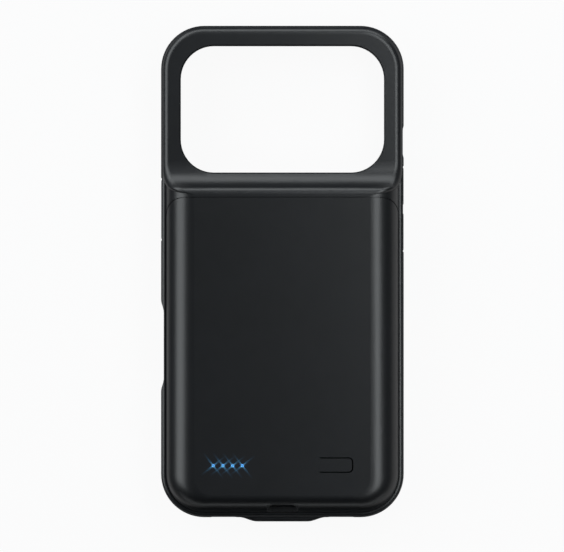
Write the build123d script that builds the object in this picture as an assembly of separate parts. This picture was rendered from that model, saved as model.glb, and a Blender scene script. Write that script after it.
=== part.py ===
from build123d import *
from math import cos, radians, sin, sqrt
import os

# Battery charging case lying on its front rim, sizes in mm.
# x runs to the right as seen from the back, y to the hood, z out of the back.

# What the bay is made to hold, and the play round it
PHONE_W = 71.9
PHONE_L = 150.0
PHONE_T = 8.75
PHONE_CORNER = 11.45
PHONE_FIT = 0.15
PHONE_PLAY = 0.10

# Frame round the bay
WALL = 2.0
LIP_T = 1.2
LIP_OVER = 0.9
FRONT_ROUND = 1.3
BAY_ROUND = 1.0
DECK_T = 0.95
SHOULDER_RISE = 1.0
SHOULDER_ROUND = 1.3

# Hood and the ramp from the hood up to the battery
HOOD_INSET = 0.45
HOOD_RISE = 1.7
HOOD_ROUND = 2.3
WINDOW_W = 63.8
WINDOW_L = 39.7
WINDOW_R = 10.4
WINDOW_BEVEL = 0.4
WINDOW_FROM_TOP = 26.25
RAMP_RISE = 6.0
RAMP_TILT = 60.0
RAMP_TOP_ROUND = 2.8
RAMP_FROM_TOP = 42.65
RAMP_STEPS = 5
RAMP_LATE = 4
RAMP_TUCK = 8.2
RAMP_SWELL = 3.5
RAMP_UNDER = 3.3
RAMP_UNDER_DROP = 0.05
RAMP_CORE_W = 52.0
RAMP_CORE_REACH = 3.2
RAMP_CORE_H = 5.0
CORE_WALL = 1.1
CORE_ROOF = 1.4
CORE_RIB = 1.0
CORE_RIB_X = 16.0
CORE_RIB_Y = 12.0

# Battery cover and its seam
SEAM_INSET = 1.5
SEAM_GAP = 0.2
SEAM_FROM_TOP = 53.85
SEAM_TOP_R = 7.3
SEAM_TOP_EASE = 0.73
COVER_WALL = 1.3
SIDE_RUN = 9.0
END_RUN = 5.6
CORNER_RUN = 6.5
PILLOW_STEPS = 9
LEDGE = 1.4
LEDGE_FIT = 0.05

# Chin over the plug, and the cut-outs in the walls
CHIN_OUT = 1.37
CHIN_LENGTH = 28.0
CHIN_FLAT = 15.4
CHIN_LOW = 0.8
CHIN_TOP = 9.9
CHIN_ROUND = 0.8
SPEAKER_X = 18.4
SPEAKER_W = 7.4
SPEAKER_H = 3.2
SPEAKER_SLOPE = 1.0
SPEAKER_SINK = 0.1
ACTION_FROM_TOP = 36.45
ACTION_LENGTH = 10.6
ACTION_FLAT = 7.4
ACTION_SINK = 0.31
ACTION_SLOT_H = 4.6
CONTROL_FROM_TOP = 100.35
CONTROL_LENGTH = 29.2
CONTROL_FLAT = 20.4
CONTROL_SINK = 0.86
CONTROL_SLOT_H = 5.2

# Keys in the side walls
KEY_H = 3.6
KEY_FIT = 0.1
KEY_FLANGE = 0.8
KEY_FLANGE_T = 0.6
KEY_TRAVEL = 0.3
KEY_SEAT = 0.03
KEY_ROUND = 0.4
KEY_SINK = 0.22
KEY_END_GAP = 0.4
KEY_SLOPE = 0.3
VOLUME_LENGTH = 11.8
VOLUME_UP_FROM_TOP = 50.35
VOLUME_DOWN_FROM_TOP = 64.7
SIDE_KEY_LENGTH = 18.8
SIDE_KEY_FROM_TOP = 57.65

# Status key, its switch and the four lights
STATUS_X = 11.7
STATUS_FROM_END = 16.55
STATUS_LENGTH = 10.5
STATUS_W = 4.9
STATUS_CORNER = 1.5
STATUS_GROOVE = 0.4
STATUS_ROOT = 0.02
STATUS_ROOT_T = 0.6
STATUS_ROOT_LENGTH = 1.6
PIP_R = 1.1
SWITCH_REACH = 8.6
SWITCH_W = 4.2
SWITCH_D = 3.2
SWITCH_H = 1.7
PLUNGER_R = 0.9
PLUNGER_TOP = 3.1
PLUNGER_FIT = 0.03
PLUNGER_DEPTH = 0.9
PLUNGER_STROKE = 0.3
TOUCH = 0.02
LIGHT_X = -17.1
LIGHT_FROM_END = 16.35
LIGHT_PITCH = 3.03
LIGHT_R = 0.68
LIGHT_FIT = 0.04
LIGHT_COUNT = 4
GUIDE_W = 12.8
GUIDE_D = 3.2
GUIDE_T = 1.2
LED_W = 1.6
LED_D = 0.8
LED_H = 0.6

# Charge board with its socket
PORT_Z = 16.1
PORT_W = 8.94
PORT_H = 3.26
PORT_L = 7.35
PORT_SHEET = 0.3
PORT_FROM_END = 3.95
PORT_HOLE_FIT = 0.2
PORT_ROUND = 0.25
TONGUE_W = 6.69
TONGUE_H = 0.7
TONGUE_L = 4.45
TONGUE_BACK = 1.6
BOARD_T = 1.0
BOARD_W = 54.0
BOARD_FROM_END = 4.95
BOARD_L = 20.7
BOARD_CORNER = 3.0
SCREW_HIGH_IN = 2.7
SCREW_LOW_IN = 3.3
SCREW_LOW_SIDE = 6.5
SCREW_R = 0.8
SCREW_HEAD_R = 1.5
SCREW_HEAD_H = 0.9
SCREW_L = 3.0
SCREW_FIT = 0.1
SCREW_SLOT = 0.4
POST_R = 2.4
CHIP_X = 0.5
CHIP_IN = 6.5
CHIP_W = 5.0
CHIP_H = 0.9
COIL_X = 8.0
COIL_IN = 4.7
COIL_W = 6.4
COIL_H = 2.8
COIL_ROUND = 1.2
CAP_W = 1.6
CAP_D = 0.8
CAP_H = 0.8
CAP_PITCH = 2.2
CAP_ROW_X = -7.0
CAP_COUNT = 5

# Plug at the foot of the bay, its board and its ribbon
PLUG_W = 8.25
PLUG_H = 2.4
PLUG_SHEET = 0.32
PLUG_OUT = 6.65
PLUG_FIT = 0.1
PLUG_CORE_L = 4.2
PLUG_POCKET_X = 7.2
PLUG_POCKET_LOW = 2.0
PLUG_POCKET_TOP = 9.6
PLUG_POCKET_WALL = 0.85
PLUG_POCKET_D = 1.4
PLUG_BOARD_W = 13.6
PLUG_BOARD_T = 0.8
PLUG_BOARD_LOW = 2.3
PLUG_BOARD_TOP = 9.3
RIBBON_T = 0.2
RIBBON_W = 9.0
RIBBON_START = 7.2
RIBBON_ROUND = 0.5
RIBBON_RISE_IN = 0.9
RIBBON_END_IN = 3.8
RIBBON_SLOT_W = 10.0
RIBBON_SLOT_H = 0.45
RIBBON_LIFT = 0.14

# Pouch cell, its tape, tabs, safety board and leads
TAPE_T = 0.2
TAPE_W = 14.0
TAPE_INSET = 4.75
TAPE_X = 18.0
CELL_W = 60.0
CELL_T = 6.0
CELL_FROM_BOARD = 5.5
CELL_FROM_SEAM = 3.8
CELL_CORNER = 2.5
CELL_ROUND = 1.8
TERRACE_L = 4.2
TERRACE_T = 0.4
GUARD_W = 38.0
GUARD_L = 3.4
GUARD_T = 0.8
GUARD_GAP = 0.3
TAB_W = 4.0
TAB_T = 0.15
TAB_L = 2.6
TAB_X = 12.0
LEAD_R = 0.55
LEAD_X = -4.5
LEAD_PITCH = 2.6
LEAD_START = 1.4
LEAD_FLAT = 0.9
LEAD_EDGE = 0.9
LEAD_BEND = 0.8
LEAD_END = 2.0

# Sizes that follow from the ones above
CASE_W = PHONE_W + 2 * (PHONE_FIT + WALL)
CASE_L = PHONE_L + 2 * (PHONE_FIT + WALL)
CASE_R = PHONE_CORNER + PHONE_FIT + WALL
BAY_W = PHONE_W + 2 * PHONE_FIT
BAY_L = PHONE_L + 2 * PHONE_FIT
BAY_R = PHONE_CORNER + PHONE_FIT
BAY_TOP = LIP_T + PHONE_T + PHONE_PLAY
MID_Z = LIP_T + PHONE_T / 2
DECK_TOP = BAY_TOP + DECK_T
SHOULDER_Z = DECK_TOP + SHOULDER_RISE
HOOD_Z = SHOULDER_Z + HOOD_RISE
BACK_Z = HOOD_Z + RAMP_RISE
CEILING_Z = BACK_Z - COVER_WALL
PILLOW_H = BACK_Z - DECK_TOP
HOOD_HALF = CASE_W / 2 - HOOD_INSET
CASE_TOP = CASE_L / 2
CASE_END = -CASE_L / 2
WINDOW_Y = CASE_TOP - WINDOW_FROM_TOP
RAMP_FOOT_Y = CASE_TOP - RAMP_FROM_TOP
SEAM_TOP_Y = CASE_TOP - SEAM_FROM_TOP
ACTION_Y = CASE_TOP - ACTION_FROM_TOP
CONTROL_Y = CASE_TOP - CONTROL_FROM_TOP
VOLUME_UP_Y = CASE_TOP - VOLUME_UP_FROM_TOP
VOLUME_DOWN_Y = CASE_TOP - VOLUME_DOWN_FROM_TOP
SIDE_KEY_Y = CASE_TOP - SIDE_KEY_FROM_TOP
STATUS_Y = CASE_END + STATUS_FROM_END
LIGHT_Y = CASE_END + LIGHT_FROM_END
PORT_FRONT_Y = CASE_END + PORT_FROM_END
BOARD_LOW = CASE_END + BOARD_FROM_END
BOARD_HIGH = BOARD_LOW + BOARD_L
CELL_LOW = BOARD_HIGH + CELL_FROM_BOARD
CELL_HIGH = SEAM_TOP_Y - CELL_FROM_SEAM
SEAM_HALF = CASE_W / 2 - SEAM_INSET
SEAM_LOW = CASE_END + SEAM_INSET
SEAM_LOW_R = CASE_R - SEAM_INSET
BOARD_TOP = PORT_Z - PORT_H / 2
BOARD_Z = BOARD_TOP - BOARD_T
STATUS_TIP = STATUS_X + STATUS_LENGTH
SWITCH_X = STATUS_X + SWITCH_REACH
SWITCH_TOP = BOARD_TOP + PLUNGER_TOP
CLEAR = 5.0
NEAR = 0.01


def plan(half, low, high, r_low, r_high):
    """Rectangle seen from the back with its own corner radius at each end."""
    shape = Pos(0, (low + high) / 2) * Rectangle(2 * half, high - low)
    if r_low > 0:
        shape = fillet(shape.vertices().group_by(Axis.Y)[0], r_low)
    if r_high > 0:
        shape = fillet(shape.vertices().group_by(Axis.Y)[-1], r_high)
    return shape


def seam_plan(half, low, high, r_low, r_high):
    """Outline like plan, but with squarer corners of easing curvature at the high end."""
    pull = r_high * (1 - SEAM_TOP_EASE)
    shape = plan(half, low, high, r_low, 0)
    for side in (-1, 1):
        start = (side * half, high - r_high)
        end = (side * (half - r_high), high)
        curve = Bezier(start, (side * half, high - pull), (side * (half - pull), high), end)
        shape = shape - make_face(Curve() + [curve, Polyline(end, (side * half, high), start)])
    return shape


def prism(shape, z_low, z_high):
    """Upright solid over a plan shape."""
    return Pos(0, 0, z_low) * extrude(shape, z_high - z_low)


def bump(length, flat, height, back):
    """Plan of a swell with S-shaped flanks that rises from a straight wall."""
    start = (-length / 2, 0)
    first = (-flat / 2, height)
    last = (flat / 2, height)
    end = (length / 2, 0)
    rise = Spline(start, first, tangents=[(1, 0), (1, 0)])
    top = Line(first, last)
    fall = Spline(last, end, tangents=[(1, 0), (1, 0)])
    close = Polyline(end, (length / 2, -back), (-length / 2, -back), start)
    return make_face(Curve() + [rise, top, fall, close])


def wall_plane(side, x, y, z):
    """Plane that looks out of the right wall (side 1) or the left wall (side -1)."""
    return Plane(origin=(side * x, y, z), x_dir=(0, 1, 0), z_dir=(side, 0, 0))


def end_plane(x, y, z):
    """Plane that looks out of the bottom wall."""
    return Plane(origin=(x, y, z), x_dir=(1, 0, 0), z_dir=(0, -1, 0))


def pillow(inset, far):
    """Battery bulge whose plan shrinks on an ellipse, more at the sides than at the end."""
    sections = []
    for step in range(PILLOW_STEPS + 1):
        angle = radians(90 * step / PILLOW_STEPS)
        shrink = 1 - cos(angle)
        half = SEAM_HALF - inset - SIDE_RUN * shrink
        low = SEAM_LOW + inset + END_RUN * shrink
        radius = SEAM_LOW_R - inset - CORNER_RUN * shrink
        level = DECK_TOP + (PILLOW_H - inset) * sin(angle)
        sections.append(Pos(0, 0, level) * plan(half, low, far, radius, 0))
    return loft(sections)


def ramp_section(y, half, top, run, rise):
    """Cross-section of the back with elliptical edges, for the loft of the ramp."""
    foot = BAY_TOP
    base = Line((-half, foot), (half, foot))
    right = Line((half, foot), (half, top - rise))
    right_edge = EllipticalCenterArc((half - run, top - rise), run, rise, 0, arc_size=90)
    cap = Line((half - run, top), (run - half, top))
    left_edge = EllipticalCenterArc((run - half, top - rise), run, rise, 90, arc_size=90)
    left = Line((-half, top - rise), (-half, foot))
    face = make_face(Curve() + [base, right, right_edge, cap, left_edge, left])
    return Plane.XZ.offset(-y) * face


def ramp_share(y, top, way):
    """Cross-section of the ramp, whose edges swell on the way and tuck in late towards the battery."""
    way = min(1, way)
    late = 1 - sqrt(1 - way ** RAMP_LATE)
    edge = HOOD_ROUND + RAMP_SWELL * way ** 2 * (1 - late)
    return ramp_section(y, HOOD_HALF - RAMP_TUCK * late, top, edge, edge)


def ramp():
    """Way from the hood up to the battery: a hollow curve and a round brow, over the battery's own form."""
    tilt = radians(RAMP_TILT)
    foot_round = RAMP_RISE / (1 - cos(tilt)) - RAMP_TOP_ROUND
    length = (foot_round + RAMP_TOP_ROUND) * sin(tilt)
    hollow = []
    for step in range(RAMP_STEPS + 1):
        turn = tilt * step / RAMP_STEPS
        way = foot_round * sin(turn)
        hollow.append(ramp_share(RAMP_FOOT_Y - way, HOOD_Z + foot_round * (1 - cos(turn)), way / length))
    brow = []
    for step in range(RAMP_STEPS + 1):
        turn = tilt * (1 - step / RAMP_STEPS) ** 2
        way = length - RAMP_TOP_ROUND * sin(turn)
        drop = RAMP_TOP_ROUND * (1 - cos(turn))
        brow.append(ramp_share(RAMP_FOOT_Y - way, BACK_Z - drop, way / length))
    brow_y = RAMP_FOOT_Y - length
    battery = ramp_section(brow_y, SEAM_HALF, BACK_Z, SIDE_RUN, PILLOW_H)
    level = extrude(battery, brow_y - (SEAM_TOP_Y - SEAM_TOP_R - LEDGE), dir=(0, -1, 0))
    wedge_y = brow_y + RAMP_UNDER
    wedge_z = BACK_Z - RAMP_UNDER_DROP
    wedge = Polyline((brow_y, 0), (brow_y, wedge_z), (wedge_y, wedge_z - RAMP_UNDER), (wedge_y, 0), close=True)
    wedge = extrude(Plane.YZ * make_face(wedge), CASE_W, both=True)
    under = extrude(battery, RAMP_UNDER, dir=(0, 1, 0)) & wedge
    return loft(hollow) + loft(brow) + (level + under)


def side_cut(side, y, length, height, x_low, x_high):
    """Slot through part of a side wall."""
    return extrude(wall_plane(side, x_low, y, MID_Z) * SlotOverall(length, height), x_high - x_low)


def side_sink(side, y, length, flat, depth):
    """Shallow dip over the full height of a side wall."""
    shape = Pos(side * CASE_W / 2, y) * Rot(0, 0, side * 90) * bump(length, flat, depth, CLEAR)
    return prism(shape, -CLEAR, SHOULDER_Z + CLEAR)


def side_key(side, y, length):
    """Wall key: a rounded cap in the slot and a flange behind the wall."""
    outer = CASE_W / 2
    seat = BAY_W / 2 + KEY_TRAVEL + KEY_FLANGE_T
    cap = side_cut(side, y, length, KEY_H, seat, outer)
    tip = cap.faces().sort_by(Axis.X)[-1 if side > 0 else 0]
    cap = fillet(tip.edges(), KEY_ROUND)
    flange = side_cut(side, y, length + 2 * KEY_FLANGE, KEY_H + 2 * KEY_FLANGE, seat - KEY_FLANGE_T, seat)
    return cap + flange


def key_opening(side, y, length):
    """What a wall key needs cut out of the frame."""
    seat = BAY_W / 2 + KEY_TRAVEL + KEY_FLANGE_T + KEY_SEAT
    hole = side_cut(side, y, length + 2 * KEY_FIT, KEY_H + 2 * KEY_FIT, seat - KEY_SEAT, CASE_W / 2 + CLEAR)
    flange_fit = KEY_FLANGE + KEY_FIT
    room = side_cut(side, y, length + 2 * flange_fit, KEY_H + 2 * flange_fit, BAY_W / 2 - CLEAR, seat)
    return hole + room


def screw_places():
    """Four places of the board's screws."""
    high_x = BOARD_W / 2 - SCREW_HIGH_IN
    high_y = BOARD_HIGH - SCREW_HIGH_IN
    low_x = BOARD_W / 2 - SCREW_LOW_SIDE
    low_y = BOARD_LOW + SCREW_LOW_IN
    return [(high_x, high_y), (-high_x, high_y), (low_x, low_y), (-low_x, low_y)]


def light_places():
    """Places of the lights in their row."""
    first = LIGHT_X - LIGHT_PITCH * (LIGHT_COUNT - 1) / 2
    return [(first + LIGHT_PITCH * i, LIGHT_Y) for i in range(LIGHT_COUNT)]


# Frame: tub with rounded rims, hood, ramp and chin
frame = prism(plan(CASE_W / 2, -CASE_L / 2, CASE_L / 2, CASE_R, CASE_R), 0, SHOULDER_Z)
frame = fillet(frame.edges().group_by(Axis.Z)[-1], SHOULDER_ROUND)
frame = fillet(frame.edges().group_by(Axis.Z)[0], FRONT_ROUND)
hood_top = CASE_L / 2 - HOOD_INSET
hood = prism(plan(HOOD_HALF, RAMP_FOOT_Y, hood_top, 0, CASE_R - HOOD_INSET), BAY_TOP, HOOD_Z)
hood_edges = hood.edges().group_by(Axis.Z)[-1].sort_by(Axis.Y)[1:]
hood = fillet(hood_edges, HOOD_ROUND)
chin = Pos(0, -CASE_L / 2) * Rot(0, 0, 180) * bump(CHIN_LENGTH, CHIN_FLAT, CHIN_OUT, WALL / 2)
chin = prism(chin, CHIN_LOW, CHIN_TOP)
chin_face_edges = chin.faces().sort_by(Axis.Y)[0].edges()
chin = fillet(chin_face_edges.filter_by(Axis.X), CHIN_ROUND)
frame = frame + hood + ramp() + chin

# Bay and the opening inside the front lip
bay = prism(plan(BAY_W / 2, -BAY_L / 2, BAY_L / 2, BAY_R, BAY_R), LIP_T, BAY_TOP)
bay = fillet(bay.edges().group_by(Axis.Z)[-1] + bay.edges().group_by(Axis.Z)[0], BAY_ROUND)
mouth_half = BAY_W / 2 - LIP_OVER
mouth_end = BAY_L / 2 - LIP_OVER
mouth = prism(plan(mouth_half, -mouth_end, mouth_end, BAY_R - LIP_OVER, BAY_R - LIP_OVER), -CLEAR, MID_Z)
frame = frame - bay - mouth

# Window, with the hood round it cored out from the bay's side between ribs
window_low = WINDOW_Y - WINDOW_L / 2
window_high = WINDOW_Y + WINDOW_L / 2
window = prism(plan(WINDOW_W / 2, window_low, window_high, WINDOW_R, WINDOW_R), MID_Z, BACK_Z + CLEAR)
frame = frame - window
rim = frame.edges().filter_by_position(Axis.X, -WINDOW_W / 2 - NEAR, WINDOW_W / 2 + NEAR)
rim = rim.filter_by_position(Axis.Y, window_low - NEAR, window_high + NEAR)
frame = chamfer(rim.filter_by_position(Axis.Z, HOOD_Z - NEAR, BACK_Z), WINDOW_BEVEL)
core_half = BAY_W / 2 - BAY_ROUND
core_high = BAY_L / 2 - BAY_ROUND
groove = plan(core_half, RAMP_FOOT_Y, core_high, 0, BAY_R - BAY_ROUND)
groove = groove - plan(WINDOW_W / 2 + CORE_WALL, 0, window_high + CORE_WALL, 0, WINDOW_R + CORE_WALL)
for side in (-1, 1):
    groove = groove - Pos(side * CORE_RIB_X, core_high) * Rectangle(CORE_RIB, 2 * CLEAR)
    groove = groove - Pos(side * core_half, WINDOW_Y + CORE_RIB_Y / 2) * Rectangle(2 * CLEAR, CORE_RIB)
    groove = groove - Pos(side * core_half, WINDOW_Y - CORE_RIB_Y / 2) * Rectangle(2 * CLEAR, CORE_RIB)
frame = frame - prism(groove, MID_Z, HOOD_Z - CORE_ROOF)

# Recess for the battery cover, with a ledge under the cover's upper edge
half_gap = SEAM_GAP / 2
recess_half = SEAM_HALF + half_gap
recess_low = SEAM_LOW - half_gap
recess_top = SEAM_TOP_Y + half_gap
recess = seam_plan(recess_half, recess_low, recess_top, SEAM_LOW_R + half_gap, SEAM_TOP_R + half_gap)
frame = frame - prism(recess, DECK_TOP, BACK_Z + CLEAR)
ledge_zone = seam_plan(recess_half, SEAM_TOP_Y - SEAM_TOP_R - LEDGE, recess_top, 0, SEAM_TOP_R + half_gap)
cavity_top = SEAM_TOP_Y - LEDGE
cavity = seam_plan(SEAM_HALF - COVER_WALL / 2, SEAM_LOW, cavity_top, SEAM_LOW_R, SEAM_TOP_R - LEDGE / 2)
ledge = pillow(COVER_WALL + LEDGE_FIT, SEAM_TOP_Y + CLEAR) & prism(ledge_zone - cavity, DECK_TOP, BACK_Z)
frame = frame + ledge
core = plan(RAMP_CORE_W / 2, cavity_top - CLEAR, SEAM_TOP_Y + RAMP_CORE_REACH, 0, SEAM_TOP_R / 2)
frame = frame - prism(core, DECK_TOP, DECK_TOP + RAMP_CORE_H)

# Cut-outs in the side and bottom walls
frame = frame - side_sink(1, ACTION_Y, ACTION_LENGTH, ACTION_FLAT, ACTION_SINK)
frame = frame - side_cut(1, ACTION_Y, ACTION_FLAT, ACTION_SLOT_H, BAY_W / 2 - WALL, CASE_W / 2 + CLEAR)
frame = frame - side_sink(-1, CONTROL_Y, CONTROL_LENGTH, CONTROL_FLAT, CONTROL_SINK)
frame = frame - side_cut(-1, CONTROL_Y, CONTROL_FLAT, CONTROL_SLOT_H, BAY_W / 2 - WALL, CASE_W / 2 + CLEAR)
volume_mid = (VOLUME_UP_Y + VOLUME_DOWN_Y) / 2
volume_span = VOLUME_UP_Y - VOLUME_DOWN_Y + VOLUME_LENGTH + 2 * KEY_END_GAP
frame = frame - side_sink(1, volume_mid, volume_span + KEY_SLOPE, volume_span - KEY_SLOPE, KEY_SINK)
side_span = SIDE_KEY_LENGTH + 2 * KEY_END_GAP
frame = frame - side_sink(-1, SIDE_KEY_Y, side_span + KEY_SLOPE, side_span - KEY_SLOPE, KEY_SINK)
frame = frame - key_opening(1, VOLUME_UP_Y, VOLUME_LENGTH)
frame = frame - key_opening(1, VOLUME_DOWN_Y, VOLUME_LENGTH)
frame = frame - key_opening(-1, SIDE_KEY_Y, SIDE_KEY_LENGTH)
for side in (-1, 1):
    speaker = end_plane(side * SPEAKER_X, -BAY_L / 2 + WALL, MID_Z) * SlotOverall(SPEAKER_W, SPEAKER_H)
    frame = frame - extrude(speaker, 2 * WALL + CLEAR)
    dip = bump(SPEAKER_W + SPEAKER_SLOPE, SPEAKER_W, SPEAKER_SINK, CLEAR)
    frame = frame - prism(Pos(side * SPEAKER_X, -CASE_L / 2) * dip, -CLEAR, SHOULDER_Z + CLEAR)

# Room in the chin for the plug, its board and its ribbon
pocket_y = -BAY_L / 2 - PLUG_POCKET_WALL
pocket = plan(PLUG_POCKET_X, pocket_y - PLUG_POCKET_D, pocket_y, 0, 0)
frame = frame - prism(pocket, PLUG_POCKET_LOW, PLUG_POCKET_TOP)
plug_hole = end_plane(0, -BAY_L / 2 + WALL, MID_Z) * SlotOverall(PLUG_W + 2 * PLUG_FIT, PLUG_H + 2 * PLUG_FIT)
frame = frame - extrude(plug_hole, WALL + PLUG_POCKET_WALL + PLUG_POCKET_D / 2)
shaft_y = pocket_y - 2 * RIBBON_LIFT - RIBBON_T
ribbon_slot = plan(RIBBON_SLOT_W / 2, shaft_y, SEAM_LOW, 0, 0)
frame = frame - prism(ribbon_slot, DECK_TOP, DECK_TOP + RIBBON_SLOT_H)
ribbon_shaft = plan(RIBBON_SLOT_W / 2, shaft_y, pocket_y, 0, 0)
frame = frame - prism(ribbon_shaft, PLUG_POCKET_TOP - RIBBON_T, DECK_TOP + RIBBON_SLOT_H)

# Posts for the charge board
for x, y in screw_places():
    post = Pos(x, y, DECK_TOP) * extrude(Circle(POST_R) - Circle(SCREW_R), BOARD_Z - DECK_TOP)
    frame = frame + post

# Battery cover: a shell with holes for lights, status key and socket
port_fit = 2 * PORT_HOLE_FIT
port_hole = end_plane(0, PORT_FRONT_Y + CLEAR, PORT_Z) * SlotOverall(PORT_W + port_fit, PORT_H + port_fit)
shell = pillow(0, SEAM_TOP_Y + CLEAR) - extrude(port_hole, 2 * CLEAR)
port_edges = shell.edges().filter_by_position(Axis.X, -PORT_W, PORT_W)
port_edges = port_edges.filter_by_position(Axis.Y, SEAM_LOW, PORT_FRONT_Y)
port_edges = port_edges.filter_by_position(Axis.Z, BOARD_Z, CEILING_Z)
shell = fillet(port_edges, PORT_ROUND)
shell = shell - pillow(COVER_WALL, SEAM_TOP_Y + 2 * CLEAR)
cover_half = SEAM_HALF - half_gap
cover_low = SEAM_LOW + half_gap
cover_top = SEAM_TOP_Y - half_gap
edge = seam_plan(cover_half, cover_low, cover_top, SEAM_LOW_R - half_gap, SEAM_TOP_R - half_gap)
cover = shell & prism(edge, DECK_TOP, BACK_Z + CLEAR)
for x, y in light_places():
    cover = cover - Pos(x, y, CEILING_Z) * Cylinder(LIGHT_R + LIGHT_FIT, 2 * CLEAR)
status_hole = Pos((STATUS_X + STATUS_TIP) / 2, STATUS_Y) * Rectangle(STATUS_LENGTH, STATUS_W)
status_hole = fillet(status_hole.vertices().group_by(Axis.X)[-1], STATUS_CORNER)
cover = cover - prism(status_hole, CEILING_Z - CLEAR, BACK_Z + CLEAR)
ribbon_notch = plan(RIBBON_SLOT_W / 2, SEAM_LOW - CLEAR, SEAM_LOW + CLEAR, 0, 0)
cover = cover - prism(ribbon_notch, DECK_TOP - CLEAR, DECK_TOP + RIBBON_SLOT_H)

# Status key: tongue that bends at its thin left root, with a pip over the switch
tongue_w = STATUS_W - 2 * STATUS_GROOVE
tongue_x = STATUS_X + STATUS_ROOT
tongue_l = STATUS_LENGTH - STATUS_ROOT - STATUS_GROOVE
tongue = Pos(tongue_x + tongue_l / 2, STATUS_Y) * Rectangle(tongue_l, tongue_w)
tongue = fillet(tongue.vertices().group_by(Axis.X)[-1], STATUS_CORNER - STATUS_GROOVE)
status_key = prism(tongue, CEILING_Z, BACK_Z)
thin = Pos(STATUS_X, STATUS_Y) * Rectangle(2 * STATUS_ROOT_LENGTH, STATUS_W)
status_key = status_key - prism(thin, CEILING_Z - CLEAR, BACK_Z - STATUS_ROOT_T)
pip_z = SWITCH_TOP + TOUCH
status_key = status_key + Pos(SWITCH_X, STATUS_Y, pip_z) * extrude(Circle(PIP_R), CEILING_Z - pip_z)

# Push switch under the status key
switch_place = Pos(SWITCH_X, STATUS_Y, BOARD_TOP)
switch_body = switch_place * extrude(Rectangle(SWITCH_W, SWITCH_D), SWITCH_H)
switch_body = fillet(switch_body.edges().filter_by(Axis.Z), PLUNGER_R / 2)
well = PLUNGER_DEPTH + PLUNGER_STROKE
well_shape = extrude(Circle(PLUNGER_R + PLUNGER_FIT), well)
switch_body = switch_body - switch_place * Pos(0, 0, SWITCH_H - well) * well_shape
plunger_foot = SWITCH_H - PLUNGER_DEPTH
switch_plunger = switch_place * Pos(0, 0, plunger_foot) * extrude(Circle(PLUNGER_R), PLUNGER_TOP - plunger_foot)
switch_plunger = chamfer(switch_plunger.edges().group_by(Axis.Z)[-1], PLUNGER_R / 4)

# Lights on the board and the clear guide that carries them through the cover
led = Pos(0, 0, BOARD_TOP) * extrude(Rectangle(LED_W, LED_D), LED_H)
status_leds = Part() + [Pos(x, y) * led for x, y in light_places()]
guide_plan = Pos(LIGHT_X, LIGHT_Y) * SlotOverall(GUIDE_W, GUIDE_D)
light_guide = prism(guide_plan, CEILING_Z - GUIDE_T, CEILING_Z)
stub_z = BOARD_TOP + LED_H + TOUCH
for x, y in light_places():
    light_guide = light_guide + Pos(x, y, stub_z) * extrude(Circle(LIGHT_R), BACK_Z - stub_z)

# Charge board with chip, coil, capacitors and screws
board_plan = plan(BOARD_W / 2, BOARD_LOW, BOARD_HIGH, BOARD_CORNER, BOARD_CORNER / 2)
for x, y in screw_places():
    board_plan = board_plan - Pos(x, y) * Circle(SCREW_R + SCREW_FIT)
charge_board = prism(board_plan, BOARD_Z, BOARD_TOP)
chip_y = BOARD_HIGH - CHIP_IN
charge_chip = Pos(CHIP_X, chip_y, BOARD_TOP) * extrude(Rectangle(CHIP_W, CHIP_W), CHIP_H)
charge_chip = chamfer(charge_chip.edges().group_by(Axis.Z)[-1], CHIP_H / 4)
power_coil = Pos(COIL_X, BOARD_HIGH - COIL_IN, BOARD_TOP) * extrude(Rectangle(COIL_W, COIL_W), COIL_H)
power_coil = fillet(power_coil.edges().filter_by(Axis.Z), COIL_ROUND)
power_coil = chamfer(power_coil.edges().group_by(Axis.Z)[-1], COIL_ROUND / 3)
cap = Pos(0, 0, BOARD_TOP) * extrude(Rectangle(CAP_W, CAP_D), CAP_H)
cap_first = chip_y - CAP_PITCH * (CAP_COUNT - 1) / 2
cap_list = [Pos(CAP_ROW_X, cap_first + CAP_PITCH * i) * cap for i in range(CAP_COUNT)]
board_capacitors = Part() + cap_list
screw = extrude(Circle(SCREW_R - TOUCH), -SCREW_L) + extrude(Circle(SCREW_HEAD_R), SCREW_HEAD_H)
screw = chamfer(screw.edges().group_by(Axis.Z)[-1], SCREW_HEAD_H / 3)
cross = Rectangle(2 * SCREW_R, SCREW_SLOT) + Rectangle(SCREW_SLOT, 2 * SCREW_R)
screw = screw - Pos(0, 0, SCREW_HEAD_H / 2) * extrude(cross, SCREW_HEAD_H)
board_screws = Part() + [Pos(x, y, BOARD_TOP) * screw for x, y in screw_places()]

# Charging socket: sheet shell with a contact tongue
port_plane = end_plane(0, PORT_FRONT_Y + PORT_L, PORT_Z)
port_inner = SlotOverall(PORT_W - 2 * PORT_SHEET, PORT_H - 2 * PORT_SHEET)
charge_port_shell = extrude(port_plane * (SlotOverall(PORT_W, PORT_H) - port_inner), PORT_L)
tongue_back = extrude(port_plane * port_inner, TONGUE_BACK)
tongue_blade = extrude(port_plane * Rectangle(TONGUE_W, TONGUE_H), TONGUE_BACK + TONGUE_L)
charge_port_tongue = tongue_back + tongue_blade

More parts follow.
